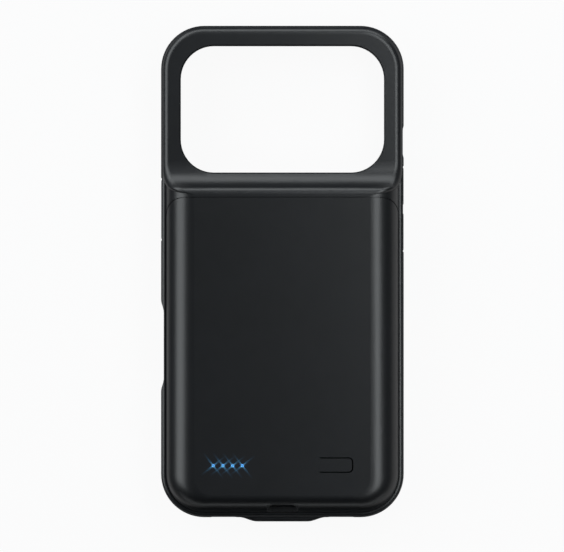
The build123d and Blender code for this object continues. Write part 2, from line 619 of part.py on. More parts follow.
# Plug into the bay, with its board upright in the chin
board_y = pocket_y - RIBBON_LIFT - RIBBON_T
plug_plane = Plane(origin=(0, board_y, MID_Z), x_dir=(-1, 0, 0), z_dir=(0, 1, 0))
plug_l = -BAY_L / 2 + PLUG_OUT - board_y
plug_inner = SlotOverall(PLUG_W - 2 * PLUG_SHEET, PLUG_H - 2 * PLUG_SHEET)
phone_plug_shell = extrude(plug_plane * (SlotOverall(PLUG_W, PLUG_H) - plug_inner), plug_l)
rim = phone_plug_shell.faces().sort_by(Axis.Y)[-1].outer_wire().edges()
phone_plug_shell = fillet(rim, PLUG_SHEET / 2)
phone_plug_core = extrude(plug_plane * plug_inner, PLUG_CORE_L)
plug_board_shape = plan(PLUG_BOARD_W / 2, board_y - PLUG_BOARD_T, board_y, 0, 0)
plug_board = prism(plug_board_shape, PLUG_BOARD_LOW, PLUG_BOARD_TOP)

# Ribbon from the plug board over the deck's edge to the underside of the charge board
lane_y = pocket_y - RIBBON_LIFT - RIBBON_T / 2
lane_z = DECK_TOP + RIBBON_LIFT + RIBBON_T / 2
top_z = BOARD_Z - RIBBON_T / 2
rise_y = BOARD_LOW + RIBBON_RISE_IN
ribbon_points = [(lane_y, RIBBON_START), (lane_y, lane_z), (rise_y, lane_z)]
ribbon_points = ribbon_points + [(rise_y, top_z), (BOARD_LOW + RIBBON_END_IN, top_z)]
ribbon_line = FilletPolyline(*ribbon_points, radius=RIBBON_ROUND)
ribbon_shape = trace(ribbon_line, RIBBON_T)
plug_ribbon = extrude(Plane.YZ * ribbon_shape, RIBBON_W / 2, both=True)

# Pouch cell on two strips of tape
tape_l = CELL_HIGH - CELL_LOW - 2 * TAPE_INSET
tape = Pos(0, (CELL_LOW + CELL_HIGH) / 2, DECK_TOP) * extrude(Rectangle(TAPE_W, tape_l), TAPE_T)
cell_tape = Pos(-TAPE_X, 0) * tape + Pos(TAPE_X, 0) * tape
cell_z = DECK_TOP + TAPE_T
battery_cell = prism(plan(CELL_W / 2, CELL_LOW, CELL_HIGH, CELL_CORNER, CELL_CORNER), cell_z, cell_z + CELL_T)
battery_cell = fillet(battery_cell.edges().group_by(Axis.Z)[-1], CELL_ROUND)
terrace_half = CELL_W / 2 - CELL_CORNER
terrace = plan(terrace_half, CELL_LOW - TERRACE_L, CELL_LOW + CELL_CORNER, 0, 0)
battery_cell = battery_cell + prism(terrace, cell_z, cell_z + TERRACE_T)

# Safety board on the cell's flange, with the cell's tabs on it
guard_z = cell_z + TERRACE_T
guard_high = CELL_LOW - GUARD_GAP
protection_board = prism(plan(GUARD_W / 2, guard_high - GUARD_L, guard_high, 0, 0), guard_z, guard_z + GUARD_T)
tab = Pos(0, CELL_LOW - TAB_L / 2, guard_z + GUARD_T) * extrude(Rectangle(TAB_W, TAB_L), TAB_T)
cell_tabs = Pos(-TAB_X, 0) * tab + Pos(TAB_X, 0) * tab


def lead(x):
    """Wire that lies on the safety board, climbs, and lies on the charge board's upper edge."""
    low_z = guard_z + GUARD_T + LEAD_R + TOUCH
    high_z = BOARD_TOP + LEAD_R + TOUCH
    start = (x, guard_high - LEAD_START, low_z)
    foot = (x, guard_high - LEAD_START - LEAD_FLAT, low_z)
    crest = (x, BOARD_HIGH + LEAD_EDGE, high_z)
    end = (x, BOARD_HIGH - LEAD_END, high_z)
    path = FilletPolyline(start, foot, crest, end, radius=LEAD_BEND)
    return sweep(Plane(origin=start, z_dir=(0, -1, 0)) * Circle(LEAD_R), path=path)


nodes = {
    "phone_frame": frame,
    "battery_cover": cover,
    "status_key": status_key,
    "light_guide": light_guide,
    "status_leds": status_leds,
    "switch_body": switch_body,
    "switch_plunger": switch_plunger,
    "charge_board": charge_board,
    "charge_chip": charge_chip,
    "power_coil": power_coil,
    "board_capacitors": board_capacitors,
    "board_screws": board_screws,
    "charge_port_shell": charge_port_shell,
    "charge_port_tongue": charge_port_tongue,
    "phone_plug_shell": phone_plug_shell,
    "phone_plug_core": phone_plug_core,
    "plug_board": plug_board,
    "plug_ribbon": plug_ribbon,
    "cell_tape": cell_tape,
    "battery_cell": battery_cell,
    "protection_board": protection_board,
    "cell_tabs": cell_tabs,
    "lead_plus": lead(LEAD_X),
    "lead_minus": lead(LEAD_X + LEAD_PITCH),
    "volume_up_key": side_key(1, VOLUME_UP_Y, VOLUME_LENGTH),
    "volume_down_key": side_key(1, VOLUME_DOWN_Y, VOLUME_LENGTH),
    "side_key": side_key(-1, SIDE_KEY_Y, SIDE_KEY_LENGTH),
}

# The frame of the part has its origin under the middle of the whole case, chin included
os.makedirs("parts", exist_ok=True)
for name, solid in nodes.items():
    export_step(Pos(0, CHIN_OUT / 2, 0) * solid, "parts/" + name + ".step")
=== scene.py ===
import math

import bpy
import numpy as np
from bpy.props import FloatProperty, FloatVectorProperty, IntProperty, PointerProperty
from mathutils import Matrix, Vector


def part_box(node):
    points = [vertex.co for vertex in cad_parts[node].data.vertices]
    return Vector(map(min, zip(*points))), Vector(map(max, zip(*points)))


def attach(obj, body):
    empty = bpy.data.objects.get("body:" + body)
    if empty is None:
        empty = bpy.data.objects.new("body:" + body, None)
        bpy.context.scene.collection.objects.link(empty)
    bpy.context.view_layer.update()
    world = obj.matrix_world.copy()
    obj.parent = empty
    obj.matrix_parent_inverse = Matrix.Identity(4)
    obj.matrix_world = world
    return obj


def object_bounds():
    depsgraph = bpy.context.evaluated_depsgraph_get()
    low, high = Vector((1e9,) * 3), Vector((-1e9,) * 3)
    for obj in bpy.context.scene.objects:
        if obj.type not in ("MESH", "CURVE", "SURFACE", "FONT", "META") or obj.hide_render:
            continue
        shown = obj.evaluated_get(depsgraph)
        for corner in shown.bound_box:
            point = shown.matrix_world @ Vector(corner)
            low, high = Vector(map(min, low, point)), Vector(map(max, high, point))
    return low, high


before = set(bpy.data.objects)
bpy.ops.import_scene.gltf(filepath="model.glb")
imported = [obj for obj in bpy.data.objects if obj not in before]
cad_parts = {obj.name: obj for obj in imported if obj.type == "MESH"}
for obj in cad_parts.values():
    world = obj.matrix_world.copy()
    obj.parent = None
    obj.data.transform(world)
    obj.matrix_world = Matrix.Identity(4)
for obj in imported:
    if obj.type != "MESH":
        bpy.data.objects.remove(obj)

bl_info = {
    "name": "Battery Charging Case",
    "version": (1, 0, 0),
    "blender": (4, 5, 0),
    "location": "View3D > Sidebar > Charging Case",
    "description": "Finishes the pieces of a clip-on battery case and sets them in a small studio",
    "category": "Object",
}

MM = 0.001
CAD_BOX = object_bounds()
CASE_TOP_Z = CAD_BOX[1].z
RING = 8


def linear(code):
    """Linear red, green, blue of an sRGB hex code such as #1a1b1c."""
    steps = [int(code[i:i + 2], 16) / 255 for i in (1, 3, 5)]
    return tuple(c / 12.92 if c <= 0.04045 else ((c + 0.055) / 1.055) ** 2.4 for c in steps)


def opaque(colour):
    """The colour with full opacity, as shader sockets want it."""
    return (*colour, 1.0)


def per(size):
    """Texture scale that gives features of this size, in metres."""
    return 1.0 / size


class CasePlasticSettings(bpy.types.PropertyGroup):
    """Finish of the moulded pieces"""

    colour: FloatVectorProperty(
        name="Colour", description="Body colour of the black moulding",
        subtype="COLOR", size=3, min=0, max=1, default=linear("#0e0f11"))
    shade: FloatVectorProperty(
        name="Shade", description="Darker tone that the moulding drifts to over its surface",
        subtype="COLOR", size=3, min=0, max=1, default=linear("#0c0d0e"))
    # Painted light: the frame is the same plastic as the cover, painted paler to stand in for the
    # brighter light that falls on it.
    frame_painted_lift: FloatProperty(
        name="Frame lift", description="How much paler the frame's moulding is than the cover's",
        min=0, default=1.15)
    roughness: FloatProperty(
        name="Roughness", description="Satin of the moulded skin",
        subtype="FACTOR", min=0, max=1, default=0.34)
    grain: FloatProperty(
        name="Grain", description="Width of the tool's spark-eroded grain",
        subtype="DISTANCE", unit="LENGTH", min=0, default=0.16 * MM, precision=6)
    grain_depth: FloatProperty(
        name="Grain depth", description="Height of that grain",
        subtype="DISTANCE", unit="LENGTH", min=0, default=0.0012 * MM, precision=6)


class CaseLightSettings(bpy.types.PropertyGroup):
    """Charge lights"""

    core_colour: FloatVectorProperty(
        name="Core colour", description="Colour in the middle of a dot",
        subtype="COLOR", size=3, min=0, max=1, default=linear("#0a58ff"))
    rim_colour: FloatVectorProperty(
        name="Rim colour", description="Colour round the middle of a dot",
        subtype="COLOR", size=3, min=0, max=1, default=linear("#5fc0ff"))
    core: FloatProperty(
        name="Core strength", description="Brightness in the middle of a dot", min=0, default=38.0)
    rim: FloatProperty(
        name="Rim strength", description="Brightness round the middle of a dot", min=0, default=0.5)
    dot_colour: FloatVectorProperty(
        name="Dot colour", description="Colour that the picture gives a dot too bright for it",
        subtype="COLOR", size=3, min=0, max=1, default=linear("#57a6df"))
    count: IntProperty(
        name="Lights", description="Lights in the row", min=2, default=4)
    glint: FloatProperty(
        name="Glint", description="Strength of the lens glints round the dots",
        subtype="FACTOR", min=0, max=1, default=1.0)


class CaseContactSettings(bpy.types.PropertyGroup):
    """Contacts in the socket and in the plug"""

    colour: FloatVectorProperty(
        name="Colour", description="Colour of the gold plating",
        subtype="COLOR", size=3, min=0, max=1, default=linear("#d9b66f"))
    count: IntProperty(
        name="Contacts", description="Contacts in each row", min=1, default=12)
    pitch: FloatProperty(
        name="Pitch", description="Distance from contact to contact",
        subtype="DISTANCE", unit="LENGTH", min=0, default=0.5 * MM, precision=6)
    width: FloatProperty(
        name="Width", description="Width of a contact",
        subtype="DISTANCE", unit="LENGTH", min=0, default=0.26 * MM, precision=6)
    thickness: FloatProperty(
        name="Thickness", description="Thickness of a contact",
        subtype="DISTANCE", unit="LENGTH", min=0, default=0.1 * MM, precision=6)


class CaseStageSettings(bpy.types.PropertyGroup):
    """Floor, lights and camera"""

    floor_colour: FloatVectorProperty(
        name="Floor", description="Colour of the floor apart from its glow",
        subtype="COLOR", size=3, min=0, max=1, default=linear("#343435"))
    floor_glow: FloatProperty(
        name="Floor glow", description="How far the floor is lit from below, as a light table",
        min=0, default=0.935)
    card_glow: FloatProperty(
        name="Card glow", description="Light of the cards low on both sides", min=0, default=0.5)
    left_power: FloatProperty(
        name="Left softbox", description="Power of the tall softbox on the left",
        unit="POWER", min=0, default=8.8)
    right_power: FloatProperty(
        name="Right softbox", description="Power of the softbox over the right edge",
        unit="POWER", min=0, default=0.77)
    top_power: FloatProperty(
        name="Top softbox", description="Power of the softbox beyond the hood end",
        unit="POWER", min=0, default=5.0)
    front_power: FloatProperty(
        name="Front softbox", description="Power of the low softbox beyond the plug end",
        unit="POWER", min=0, default=1.8)
    room_colour: FloatVectorProperty(
        name="Room", description="Colour of the dark room round the stage",
        subtype="COLOR", size=3, min=0, max=1, default=linear("#4b5056"))
    camera_distance: FloatProperty(
        name="Camera distance", description="Height of the camera over the case",
        subtype="DISTANCE", unit="LENGTH", min=0.1, default=3.0)


def add_node(tree, kind, settings=None, links=None):
    """Adds a node, sets its properties or input values, and links its inputs to given outputs."""
    made = tree.nodes.new(kind)
    for key, value in (settings or {}).items():
        if isinstance(key, str) and hasattr(made, key):
            setattr(made, key, value)
        else:
            made.inputs[key].default_value = value
    for key, source in (links or {}).items():
        tree.links.new(source, made.inputs[key])
    return made


def new_material(name):
    """Empty material with its output and Object coordinates, as (material, tree, output, coordinates)."""
    material = bpy.data.materials.new(name)
    material.use_nodes = True
    tree = material.node_tree
    tree.nodes.clear()
    output = add_node(tree, "ShaderNodeOutputMaterial")
    place = add_node(tree, "ShaderNodeTexCoord").outputs["Object"]
    return material, tree, output, place


def finish(material, *nodes):
    """Gives CAD nodes a material in place of the plain one they came with."""
    for name in nodes:
        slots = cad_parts[name].data.materials
        slots.clear()
        slots.append(material)


def ramp_between(tree, factor, low, high, start=0.0, end=1.0):
    """Colour that goes from low to high as the factor goes from start to end."""
    made = add_node(tree, "ShaderNodeValToRGB", links={"Fac": factor})
    first, last = made.color_ramp.elements
    first.position, last.position = start, end
    first.color, last.color = opaque(low), opaque(high)
    return made.outputs["Color"]


def inside_box(tree, place, low, high, edge):
    """Factor that is one inside a box and falls to nought over an edge within its faces."""
    middle, half = (low + high) / 2, (high - low) / 2
    offset = add_node(tree, "ShaderNodeVectorMath", {"operation": "SUBTRACT", 1: middle}, {0: place})
    away = add_node(tree, "ShaderNodeVectorMath", {"operation": "ABSOLUTE"},
                    {0: offset.outputs["Vector"]})
    beyond = add_node(tree, "ShaderNodeVectorMath", {"operation": "SUBTRACT", 1: half},
                      {0: away.outputs["Vector"]})
    axes = add_node(tree, "ShaderNodeSeparateXYZ", links={"Vector": beyond.outputs["Vector"]})
    level = add_node(tree, "ShaderNodeMath", {"operation": "MAXIMUM"},
                     {0: axes.outputs["X"], 1: axes.outputs["Y"]})
    farthest = add_node(tree, "ShaderNodeMath", {"operation": "MAXIMUM"},
                        {0: level.outputs[0], 1: axes.outputs["Z"]})
    made = add_node(tree, "ShaderNodeMapRange",
                    {"From Min": -edge, "From Max": 0.0, "To Min": 1.0, "To Max": 0.0},
                    {"Value": farthest.outputs[0]})
    return made.outputs["Result"]


def moulded_plastic(name, settings, lift=1.0, mouth=None):
    """ABS and polycarbonate blend from a spark-eroded tool: satin black whose fine even
    grain spreads each softbox into a broad band, with a slow drift of tone and gloss.
    Inside the mouth, a box, the skin stays as coarse as the tool left it and looks dead matt."""
    material, tree, output, place = new_material(name)
    drift_size = 24 * MM
    patch_size = 3 * MM
    gloss_swing = 0.02
    mouth_edge = 0.1 * MM
    mouth_roughness = 0.95
    # A lift above one paints the moulding paler: painted light standing in for brighter light on that
    # piece.
    shade, colour = (tuple(lift * part for part in tone) for tone in (settings.shade, settings.colour))
    drift = add_node(tree, "ShaderNodeTexNoise", {"Scale": per(drift_size), "Detail": 2.0},
                     {"Vector": place})
    tone = ramp_between(tree, drift.outputs["Fac"], shade, colour, start=0.3, end=0.7)
    grain = add_node(tree, "ShaderNodeTexNoise", {"Scale": per(settings.grain), "Detail": 3.0},
                     {"Vector": place})
    patch = add_node(tree, "ShaderNodeTexNoise", {"Scale": per(patch_size), "Detail": 4.0},
                     {"Vector": place})
    gloss = add_node(tree, "ShaderNodeMapRange",
                     {"To Min": settings.roughness - gloss_swing,
                      "To Max": settings.roughness + gloss_swing},
                     {"Value": patch.outputs["Fac"]})
    if mouth:
        matt = inside_box(tree, place, *mouth, mouth_edge)
        gloss = add_node(tree, "ShaderNodeMapRange", {"To Max": mouth_roughness},
                         {"Value": matt, "To Min": gloss.outputs["Result"]})
    bump = add_node(tree, "ShaderNodeBump", {"Strength": 1.0, "Distance": settings.grain_depth},
                    {"Height": grain.outputs["Fac"]})
    shader = add_node(tree, "ShaderNodeBsdfPrincipled", {"IOR": 1.52},
                      {"Base Color": tone, "Roughness": gloss.outputs["Result"],
                       "Normal": bump.outputs["Normal"]})
    tree.links.new(shader.outputs["BSDF"], output.inputs["Surface"])
    return material


def lit_guide(name, settings):
    """Cast acrylic with polished ends over blue lamps: clear body, and dots that are
    bright in the middle and fall off to their rim. A lamp is twice as wide as it is long."""
    material, tree, output, place = new_material(name)
    low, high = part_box("status_leds")
    half_lamp = high.y - low.y
    pitch = (high.x - low.x - 2 * half_lamp) / (settings.count - 1)
    first = low.x + half_lamp
    dot_radius = 0.68 * MM
    core_sharpness = 24.0
    core_share = 0.2
    cap_depth = 0.4 * MM
    axes = add_node(tree, "ShaderNodeSeparateXYZ", links={"Vector": place})
    across = add_node(tree, "ShaderNodeMath", {"operation": "PINGPONG", 1: pitch / 2})
    shifted = add_node(tree, "ShaderNodeMath", {"operation": "SUBTRACT", 1: first},
                       {0: axes.outputs["X"]})
    tree.links.new(shifted.outputs[0], across.inputs[0])
    along = add_node(tree, "ShaderNodeMath", {"operation": "SUBTRACT", 1: (low.y + high.y) / 2},
                     {0: axes.outputs["Y"]})
    spot = add_node(tree, "ShaderNodeCombineXYZ", links={"X": across.outputs[0], "Y": along.outputs[0]})
    radius = add_node(tree, "ShaderNodeVectorMath", {"operation": "LENGTH"}, {0: spot.outputs[0]})
    near = add_node(tree, "ShaderNodeMapRange",
                    {"interpolation_type": "SMOOTHERSTEP", "From Min": 0.0, "From Max": dot_radius,
                     "To Min": 1.0, "To Max": 0.0}, {"Value": radius.outputs["Value"]})
    peak = add_node(tree, "ShaderNodeMath", {"operation": "POWER", 1: core_sharpness},
                    {0: near.outputs["Result"]})
    colour = ramp_between(tree, peak.outputs[0], settings.rim_colour, settings.core_colour,
                          end=core_share)
    halo = add_node(tree, "ShaderNodeMath", {"operation": "MULTIPLY", 1: settings.rim},
                    {0: near.outputs["Result"]})
    glow = add_node(tree, "ShaderNodeMath", {"operation": "MULTIPLY_ADD", 1: settings.core},
                    {0: peak.outputs[0], 2: halo.outputs[0]})
    cap = add_node(tree, "ShaderNodeMapRange",
                   {"From Min": CASE_TOP_Z - cap_depth, "From Max": CASE_TOP_Z},
                   {"Value": axes.outputs["Z"]})
    strength = add_node(tree, "ShaderNodeMath", {"operation": "MULTIPLY"},
                        {0: glow.outputs[0], 1: cap.outputs["Result"]})
    shader = add_node(tree, "ShaderNodeBsdfPrincipled",
                      {"Base Color": opaque(linear("#5f7f99")), "IOR": 1.49, "Roughness": 0.2,
                       "Transmission Weight": 0.6},
                      {"Emission Color": colour, "Emission Strength": strength.outputs[0]})
    tree.links.new(shader.outputs["BSDF"], output.inputs["Surface"])
    return material


def speckled(name, base, fleck, size, roughness):
    """Surface with a fine random fleck: cured epoxy, pressed ferrite, foam, ceramic or moulded polymer.
    The fleck stands a little proud, so the highlight on it is broken up."""
    material, tree, output, place = new_material(name)
    fleck_height = 0.002 * MM
    noise = add_node(tree, "ShaderNodeTexNoise", {"Scale": per(size), "Detail": 6.0, "Roughness": 0.7},
                     {"Vector": place})
    colour = ramp_between(tree, noise.outputs["Fac"], linear(base), linear(fleck), start=0.4, end=0.7)
    bump = add_node(tree, "ShaderNodeBump", {"Distance": fleck_height}, {"Height": noise.outputs["Fac"]})
    shader = add_node(tree, "ShaderNodeBsdfPrincipled", {"Roughness": roughness},
                      {"Base Color": colour, "Normal": bump.outputs["Normal"]})
    tree.links.new(shader.outputs["BSDF"], output.inputs["Surface"])
    return material


def drawn_metal(name, base, dark, line, roughness):
    """Sheet or bar drawn through rolls along y: long fine lines that stretch its highlights."""
    material, tree, output, place = new_material(name)
    squeeze = 0.04
    gloss_swing = 0.06
    stretch = add_node(tree, "ShaderNodeMapping", {"Scale": (1.0, squeeze, 1.0)}, {"Vector": place})
    lines = add_node(tree, "ShaderNodeTexNoise", {"Scale": per(line), "Detail": 3.0},
                     {"Vector": stretch.outputs["Vector"]})
    colour = ramp_between(tree, lines.outputs["Fac"], linear(dark), linear(base), start=0.35, end=0.65)
    gloss = add_node(tree, "ShaderNodeMapRange",
                     {"To Min": roughness - gloss_swing, "To Max": roughness + gloss_swing},
                     {"Value": lines.outputs["Fac"]})
    shader = add_node(tree, "ShaderNodeBsdfPrincipled", {"Metallic": 1.0},
                      {"Base Color": colour, "Roughness": gloss.outputs["Result"]})
    tree.links.new(shader.outputs["BSDF"], output.inputs["Surface"])
    return material


def gold_plate(name, colour):
    """Hard gold over nickel, rolled: warm and bright, dulled a little in patches by wiping."""
    material, tree, output, place = new_material(name)
    wipe_size = 0.4 * MM
    worn_share = 0.72
    wipe = add_node(tree, "ShaderNodeTexNoise", {"Scale": per(wipe_size), "Detail": 3.0},
                    {"Vector": place})
    worn = tuple(worn_share * part for part in colour)
    tone = ramp_between(tree, wipe.outputs["Fac"], worn, colour, start=0.35, end=0.6)
    gloss = add_node(tree, "ShaderNodeMapRange", {"To Min": 0.4, "To Max": 0.2},
                     {"Value": wipe.outputs["Fac"]})
    shader = add_node(tree, "ShaderNodeBsdfPrincipled", {"Metallic": 1.0},
                      {"Base Color": tone, "Roughness": gloss.outputs["Result"]})
    tree.links.new(shader.outputs["BSDF"], output.inputs["Surface"])
    return material


def circuit_board(name):
    """Glass-epoxy board under black-green solder resist: straight copper tracks show as
    slightly raised, slightly paler lines through the resist."""
    material, tree, output, place = new_material(name)
    track_length = 4.6 * MM
    track_pitch = 0.9 * MM
    track_width = 0.12 * MM
    track_height = 0.03 * MM
    tracks = add_node(tree, "ShaderNodeTexBrick",
                      {"Scale": 1.0, "Brick Width": track_length, "Row Height": track_pitch,
                       "Mortar Size": track_width, "Mortar Smooth": 0.3, "Bias": 0.0}, {"Vector": place})
    colour = ramp_between(tree, tracks.outputs["Fac"], linear("#12261b"), linear("#24452f"))
    bump = add_node(tree, "ShaderNodeBump", {"Distance": track_height}, {"Height": tracks.outputs["Fac"]})
    shader = add_node(tree, "ShaderNodeBsdfPrincipled", {"Roughness": 0.32, "Coat Weight": 0.3},
                      {"Base Color": colour, "Normal": bump.outputs["Normal"]})
    tree.links.new(shader.outputs["BSDF"], output.inputs["Surface"])
    return material


def chip_capacitor(name):
    """Fired ceramic with dipped tin ends: tan in the middle, bright metal at both tips."""
    material, tree, output, place = new_material(name)
    low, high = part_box("board_capacitors")
    middle = (low.x + high.x) / 2
    half = (high.x - low.x) / 2
    tin_start = 0.58
    tin_end = 0.66
    axes = add_node(tree, "ShaderNodeSeparateXYZ", links={"Vector": place})
    offset = add_node(tree, "ShaderNodeMath", {"operation": "SUBTRACT", 1: middle},
                      {0: axes.outputs["X"]})
    away = add_node(tree, "ShaderNodeMath", {"operation": "ABSOLUTE"}, {0: offset.outputs[0]})
    tin = add_node(tree, "ShaderNodeMapRange", {"From Min": tin_start * half, "From Max": tin_end * half},
                   {"Value": away.outputs[0]})
    colour = ramp_between(tree, tin.outputs["Result"], linear("#8a6a48"), linear("#c9c8c3"))
    shader = add_node(tree, "ShaderNodeBsdfPrincipled", {"Roughness": 0.38},
                      {"Base Color": colour, "Metallic": tin.outputs["Result"]})
    tree.links.new(shader.outputs["BSDF"], output.inputs["Surface"])
    return material


def laminate_foil(name):
    """Nylon-faced aluminium pouch: dull silver with the shallow puckers of a vacuum-sealed bag."""
    material, tree, output, place = new_material(name)
    pucker_size = 7 * MM
    pucker_height = 0.25 * MM
    pucker = add_node(tree, "ShaderNodeTexNoise",
                      {"Scale": per(pucker_size), "Detail": 5.0, "Distortion": 0.6}, {"Vector": place})
    colour = ramp_between(tree, pucker.outputs["Fac"], linear("#a3a6a9"), linear("#c4c7ca"),
                          start=0.3, end=0.7)
    bump = add_node(tree, "ShaderNodeBump", {"Strength": 0.5, "Distance": pucker_height},
                    {"Height": pucker.outputs["Fac"]})
    shader = add_node(tree, "ShaderNodeBsdfPrincipled", {"Metallic": 0.9, "Roughness": 0.36},
                      {"Base Color": colour, "Normal": bump.outputs["Normal"]})
    tree.links.new(shader.outputs["BSDF"], output.inputs["Surface"])
    return material


def covered_film(name):
    """Polyimide film under a black coverlay: near black, with the etched copper showing as
    browner stripes. The wave texture turns by 20 radians for each unit of scale and length."""
    material, tree, output, place = new_material(name)
    stripe_pitch = 0.9 * MM
    wave_turn = 20.0
    stripes = add_node(tree, "ShaderNodeTexWave",
                       {"bands_direction": "X", "Scale": 2 * math.pi * per(wave_turn * stripe_pitch),
                        "Detail": 0.0}, {"Vector": place})
    colour = ramp_between(tree, stripes.outputs["Fac"], linear("#130f0c"), linear("#2c1e12"),
                          start=0.4, end=0.6)
    shader = add_node(tree, "ShaderNodeBsdfPrincipled", {"Roughness": 0.25, "Coat Weight": 0.5},
                      {"Base Color": colour})
    tree.links.new(shader.outputs["BSDF"], output.inputs["Surface"])
    return material


def make_object(name, points, faces, material, body):
    """Mesh object at the origin from point and face arrays, riding on a body."""
    mesh = bpy.data.meshes.new(name)
    mesh.from_pydata(points.reshape(-1, 3).tolist(), [], faces.tolist())
    mesh.materials.append(material)
    mesh.update()
    made = bpy.data.objects.new(name, mesh)
    bpy.context.scene.collection.objects.link(made)
    if body:
        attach(made, body)
    return made


def bar_faces(count, rings):
    """Quads of many closed bars, each of some rings of eight points: the walls go from ring to
    ring and from side to side, and three quads close each end."""
    ring = np.arange(rings - 1)[:, None] * RING
    side = np.arange(RING)[None, :]
    beside = (side + 1) % RING
    wall = np.stack([ring + side, ring + RING + side, ring + RING + beside, ring + beside], axis=-1)
    cap = np.array([[1, 2, 7, 0], [2, 3, 6, 7], [3, 4, 5, 6]])
    bar = np.concatenate([wall.reshape(-1, 4), cap, cap[:, ::-1] + (rings - 1) * RING])
    first = np.arange(count)[:, None, None] * rings * RING
    return (bar[None] + first).reshape(-1, 4)


def bar_points(places, along, up, half_width, half_height):
    """Row of flat bars: a rectangle with cut corners, carried along one path of y and z and set at
    each x. The section point at angle a is (cos a, sin a), swollen and clipped to the rectangle, and
    the section shrinks to half at both ends."""
    swell = 1.25
    end_share = 0.5
    angle = (np.arange(RING) + 0.5) * 2 * np.pi / RING
    across = np.clip(swell * np.cos(angle), -1, 1) * half_width
    height = np.clip(swell * np.sin(angle), -1, 1) * half_height
    slim = np.ones(len(along))
    slim[[0, -1]] = end_share
    x = places[:, None, None] + across * slim[:, None]
    y = np.broadcast_to(along[:, None], x.shape)
    z = np.broadcast_to(up[:, None] + height * slim[:, None], x.shape)
    return np.stack([x, y, z], axis=-1)


def contact_rows(name, along, rise, middle, settings, material):
    """Two facing rows of contacts on paths mirrored about a middle level, as one piece on the case."""
    places = (np.arange(settings.count) - (settings.count - 1) / 2) * settings.pitch
    rows = [bar_points(places, along, middle + turn * rise, settings.width / 2, settings.thickness / 2)
            for turn in (1, -1)]
    faces = bar_faces(2 * settings.count, len(along))
    made = make_object(name, np.concatenate(rows), faces, material, "case")


class CASE_OT_mouldings(bpy.types.Operator):
    """Finish the frame, the battery cover and the keys in satin black"""

    bl_idname = "charging_case.mouldings"
    bl_label = "Mouldings"

    def execute(self, context):
        settings = context.scene.case_plastic
        # The frame's copy is painted paler by the lift, as painted light.
        finish(moulded_plastic("frame_abs_blend", settings, settings.frame_painted_lift), "phone_frame")
        rim = 0.5 * MM
        mouth_reach = 4.0 * MM
        low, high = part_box("charge_port_shell")
        mouth = (low - Vector((rim, mouth_reach, rim)), high + Vector((rim, 0.0, rim)))
        finish(moulded_plastic("cover_abs_blend", settings, mouth=mouth), "battery_cover", "status_key")
        finish(moulded_plastic("key_abs_blend", settings), "volume_up_key", "volume_down_key", "side_key")
        return {"FINISHED"}


class CASE_OT_charge_lights(bpy.types.Operator):
    """Finish the light guide, the lamps under it and the push switch"""

    bl_idname = "charging_case.charge_lights"
    bl_label = "Charge lights"

    def execute(self, context):
        finish(lit_guide("acrylic_guide", context.scene.case_lights), "light_guide")
        finish(speckled("lamp_ceramic", "#d8dde2", "#eef1f4", size=0.3 * MM, roughness=0.5),
               "status_leds")
        finish(speckled("switch_nylon", "#151515", "#202020", size=0.2 * MM, roughness=0.55),
               "switch_body", "switch_plunger")
        return {"FINISHED"}


class CASE_OT_electronics(bpy.types.Operator):
    """Finish the boards and what is soldered to them"""

    bl_idname = "charging_case.electronics"
    bl_label = "Electronics"

    def execute(self, context):
        finish(circuit_board("glass_epoxy_board"), "charge_board", "plug_board", "protection_board")
        finish(speckled("chip_epoxy", "#17181a", "#232527", size=0.12 * MM, roughness=0.6),
               "charge_chip")
        finish(speckled("pressed_ferrite", "#2b2b2d", "#454549", size=0.25 * MM, roughness=0.7),
               "power_coil")
        finish(chip_capacitor("fired_ceramic"), "board_capacitors")
        finish(covered_film("polyimide_film"), "plug_ribbon")
        return {"FINISHED"}


class CASE_OT_metal_parts(bpy.types.Operator):
    """Finish the socket, the plug, the screws and the cell's tabs"""

    bl_idname = "charging_case.metal_parts"
    bl_label = "Metal parts"

    def execute(self, context):
        finish(drawn_metal("drawn_steel", "#c2c4c6", "#9fa1a4", line=0.08 * MM, roughness=0.28),
               "phone_plug_shell", "board_screws")
        finish(drawn_metal("blackened_steel", "#141516", "#0d0e0f", line=0.08 * MM, roughness=0.42),
               "charge_port_shell")
        finish(drawn_metal("nickel_strip", "#c9c3b6", "#aaa498", line=0.06 * MM, roughness=0.3),
               "cell_tabs")
        finish(speckled("socket_polymer", "#0b0b0c", "#131314", size=0.15 * MM, roughness=0.5),
               "charge_port_tongue", "phone_plug_core")
        return {"FINISHED"}


class CASE_OT_contacts(bpy.types.Operator):
    """Add the gold contacts on the socket's tongue and inside the plug"""

    bl_idname = "charging_case.contacts"
    bl_label = "Contacts"

    def execute(self, context):
        settings = context.scene.case_contacts
        gold = gold_plate("gold_plate", settings.colour)
        self.socket_contacts(settings, gold)
        self.plug_contacts(settings, gold)
        return {"FINISHED"}

    def socket_contacts(self, settings, gold):
        """Straight contacts that lie on both faces of the tongue's blade."""
        rings = 6
        blade_face = 0.35 * MM
        tip_margin = 0.45 * MM
        root_margin = 1.5 * MM
        low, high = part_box("charge_port_tongue")
        along = np.linspace(low.y + tip_margin, high.y - root_margin, rings)
        rise = np.full_like(along, blade_face)
        contact_rows("socket_contacts", along, rise, (low.z + high.z) / 2, settings, gold)

    def plug_contacts(self, settings, gold):
        """Springs along the inside of the plug's shell, bowed inward most at seven tenths of the way
        to the mouth."""
        rings = 12
        shell_to_contact = 0.46 * MM
        root_depth = 0.2 * MM
        mouth_margin = 0.7 * MM
        bow_height = 0.28 * MM
        low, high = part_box("phone_plug_shell")
        core_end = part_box("phone_plug_core")[1].y
        share = np.linspace(0, 1, rings)
        along = core_end - root_depth + share * (high.y - mouth_margin - core_end)
        bow = bow_height * np.sin(np.pi * share ** 2) ** 2
        rise = (high.z - low.z) / 2 - shell_to_contact - bow
        contact_rows("plug_contacts", along, rise, (low.z + high.z) / 2, settings, gold)


